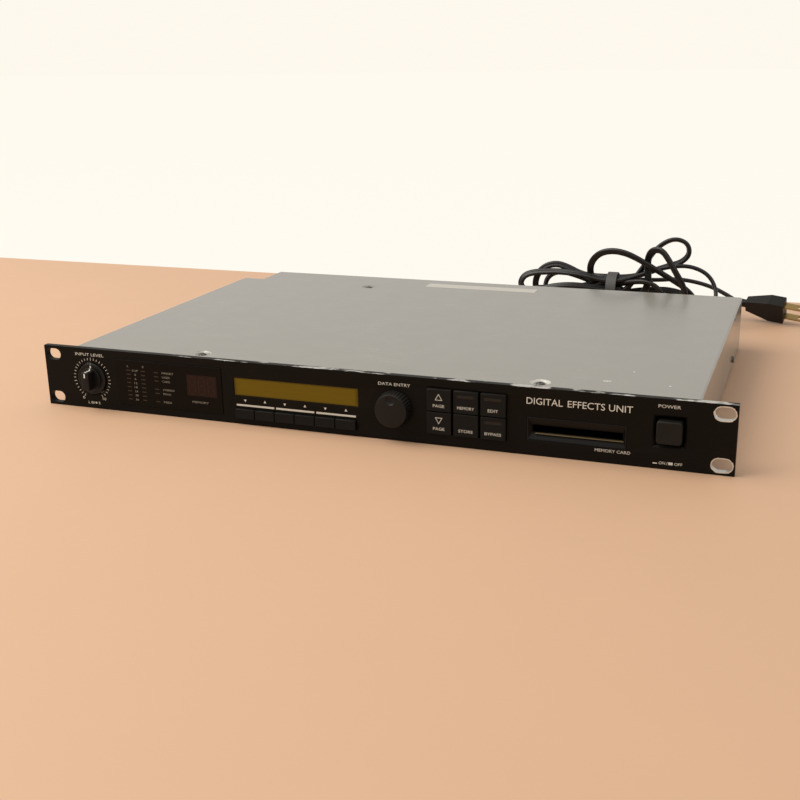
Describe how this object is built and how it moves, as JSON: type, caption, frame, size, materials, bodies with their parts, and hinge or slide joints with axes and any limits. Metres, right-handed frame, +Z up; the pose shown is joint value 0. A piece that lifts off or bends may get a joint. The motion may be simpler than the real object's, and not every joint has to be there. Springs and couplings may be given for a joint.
{
  "type": "rack effects unit",
  "caption": "One-unit-high rack audio effects unit with display, keys, dial, level knob, card slot, rear sockets and a tied mains cord.",
  "frame": {"origin": "centre of the rack-slot pattern on the front panel's rear face", "axes": "+X to the right seen from the front, +Y to the rear, +Z up"},
  "size_m": [0.5065, 0.4149, 0.0757],
  "materials": {
    "black_paint": "satin black enamel, chipped to bare metal along the top edge and round the rack slots",
    "cover_paint": "semi-gloss warm grey enamel with light scratches",
    "zinc": "zinc-plated sheet steel",
    "screw_steel": "plated screw steel",
    "window_red": "smoked dark red acrylic",
    "lens_clear": "clear acrylic",
    "lcd_olive": "unlit amber liquid crystal panel",
    "lamp_red": "unlit red lamp bars",
    "key_black": "black key caps with white printed signs",
    "knob_black": "black moulded plastic",
    "pcb_green": "green circuit board",
    "chip_black": "moulded component packages",
    "white_plastic": "white moulded plastic",
    "shaft_steel": "turned steel",
    "pot_metal": "pressed component case",
    "connector_black": "black moulded connector body",
    "connector_metal": "nickel-plated connector shell",
    "core_steel": "varnished transformer laminations",
    "heat_sink_alu": "extruded aluminium",
    "capacitor_blue": "sleeved capacitor cans",
    "cord_black": "black flexible cord jacket",
    "tie_grey": "grey tape tie",
    "plug_black": "black moulded rubber",
    "blade_brass": "plain plug blades",
    "ribbon_grey": "flat grey cable"
  },
  "bodies": {
    "chassis": {"front_panel": "black_paint", "chassis_tray": "zinc", "top_cover": "cover_paint", "rear_panel": "black_paint", "cover_screws": "screw_steel", "meter_window": "window_red", "meter_lamps": "lamp_red", "number_display": "lamp_red", "display_lens": "lens_clear", "display_module": "lcd_olive", "push_switches": "white_plastic", "front_board": "pcb_green", "level_pot": "pot_metal", "dial_encoder": "pot_metal", "control_nuts": "screw_steel", "power_switch": "white_plastic", "card_bezel": "knob_black", "card_cage": "connector_black", "main_board": "pcb_green", "power_board": "pcb_green", "board_standoffs": "shaft_steel", "logic_chips": "chip_black", "filter_capacitors": "capacitor_blue", "heat_sink": "heat_sink_alu", "transformer": "core_steel", "xlr_inputs": "connector_metal", "xlr_outputs": "connector_metal", "phone_jacks": "connector_black", "midi_sockets": "connector_black", "level_switches": "chip_black", "strain_relief": "plug_black", "mains_wiring": "cord_black", "cord_lead": "cord_black", "plug_body": "plug_black", "plug_blades": "blade_brass", "cord_tail": "cord_black", "cord_hank": "cord_black", "cord_tie": "tie_grey", "ribbon_cable": "ribbon_grey"},
    "level_ring_body": {"level_ring": "knob_black", "level_outer_shaft": "shaft_steel"},
    "level_grip_body": {"level_grip": "knob_black", "level_inner_shaft": "shaft_steel"},
    "dial_body": {"data_dial": "knob_black", "dial_shaft": "shaft_steel"},
    "power_body": {"power_button": "knob_black"},
    "input_lever_body": {"input_level_lever": "white_plastic"},
    "output_lever_body": {"output_level_lever": "white_plastic"},
    "soft_key_1_body": {"soft_key_1": "key_black"},
    "soft_key_2_body": {"soft_key_2": "key_black"},
    "soft_key_3_body": {"soft_key_3": "key_black"},
    "soft_key_4_body": {"soft_key_4": "key_black"},
    "soft_key_5_body": {"soft_key_5": "key_black"},
    "soft_key_6_body": {"soft_key_6": "key_black"},
    "page_up_key_body": {"page_up_key": "key_black"},
    "memory_key_body": {"memory_key": "key_black"},
    "edit_key_body": {"edit_key": "key_black"},
    "page_down_key_body": {"page_down_key": "key_black"},
    "store_key_body": {"store_key": "key_black"},
    "bypass_key_body": {"bypass_key": "key_black"}
  },
  "joints": [
    {"name": "soft_key_1_press", "type": "slide", "parent": "chassis", "child": "soft_key_1_body", "axis": [0, 1, 0], "range_m": [0, 0.0005], "stiffness_N_per_m": 600},
    {"name": "soft_key_2_press", "type": "slide", "parent": "chassis", "child": "soft_key_2_body", "axis": [0, 1, 0], "range_m": [0, 0.0005], "stiffness_N_per_m": 600},
    {"name": "soft_key_3_press", "type": "slide", "parent": "chassis", "child": "soft_key_3_body", "axis": [0, 1, 0], "range_m": [0, 0.0005], "stiffness_N_per_m": 600},
    {"name": "soft_key_4_press", "type": "slide", "parent": "chassis", "child": "soft_key_4_body", "axis": [0, 1, 0], "range_m": [0, 0.0005], "stiffness_N_per_m": 600},
    {"name": "soft_key_5_press", "type": "slide", "parent": "chassis", "child": "soft_key_5_body", "axis": [0, 1, 0], "range_m": [0, 0.0005], "stiffness_N_per_m": 600},
    {"name": "soft_key_6_press", "type": "slide", "parent": "chassis", "child": "soft_key_6_body", "axis": [0, 1, 0], "range_m": [0, 0.0005], "stiffness_N_per_m": 600},
    {"name": "page_up_key_press", "type": "slide", "parent": "chassis", "child": "page_up_key_body", "axis": [0, 1, 0], "range_m": [0, 0.0005], "stiffness_N_per_m": 600},
    {"name": "memory_key_press", "type": "slide", "parent": "chassis", "child": "memory_key_body", "axis": [0, 1, 0], "range_m": [0, 0.0005], "stiffness_N_per_m": 600},
    {"name": "edit_key_press", "type": "slide", "parent": "chassis", "child": "edit_key_body", "axis": [0, 1, 0], "range_m": [0, 0.0005], "stiffness_N_per_m": 600},
    {"name": "page_down_key_press", "type": "slide", "parent": "chassis", "child": "page_down_key_body", "axis": [0, 1, 0], "range_m": [0, 0.0005], "stiffness_N_per_m": 600},
    {"name": "store_key_press", "type": "slide", "parent": "chassis", "child": "store_key_body", "axis": [0, 1, 0], "range_m": [0, 0.0005], "stiffness_N_per_m": 600},
    {"name": "bypass_key_press", "type": "slide", "parent": "chassis", "child": "bypass_key_body", "axis": [0, 1, 0], "range_m": [0, 0.0005], "stiffness_N_per_m": 600},
    {"name": "power_press", "type": "slide", "parent": "chassis", "child": "power_body", "axis": [0, 1, 0], "range_m": [0, 0.0028], "stiffness_N_per_m": 500},
    {"name": "level_ring_turn", "type": "hinge", "parent": "chassis", "child": "level_ring_body", "pos_m": [-0.2016, 0, 0], "axis": [0, 1, 0], "range_deg": [-150, 150]},
    {"name": "level_grip_turn", "type": "hinge", "parent": "chassis", "child": "level_grip_body", "pos_m": [-0.2016, 0, 0], "axis": [0, 1, 0], "range_deg": [-150, 150]},
    {"name": "dial_turn", "type": "hinge", "parent": "chassis", "child": "dial_body", "pos_m": [0.0281, 0, 0], "axis": [0, 1, 0], "continuous": true},
    {"name": "input_lever_slide", "type": "slide", "parent": "chassis", "child": "input_lever_body", "axis": [0, 0, 1], "range_m": [0, 0.005]},
    {"name": "output_lever_slide", "type": "slide", "parent": "chassis", "child": "output_lever_body", "axis": [0, 0, 1], "range_m": [0, 0.005]}
  ]
}
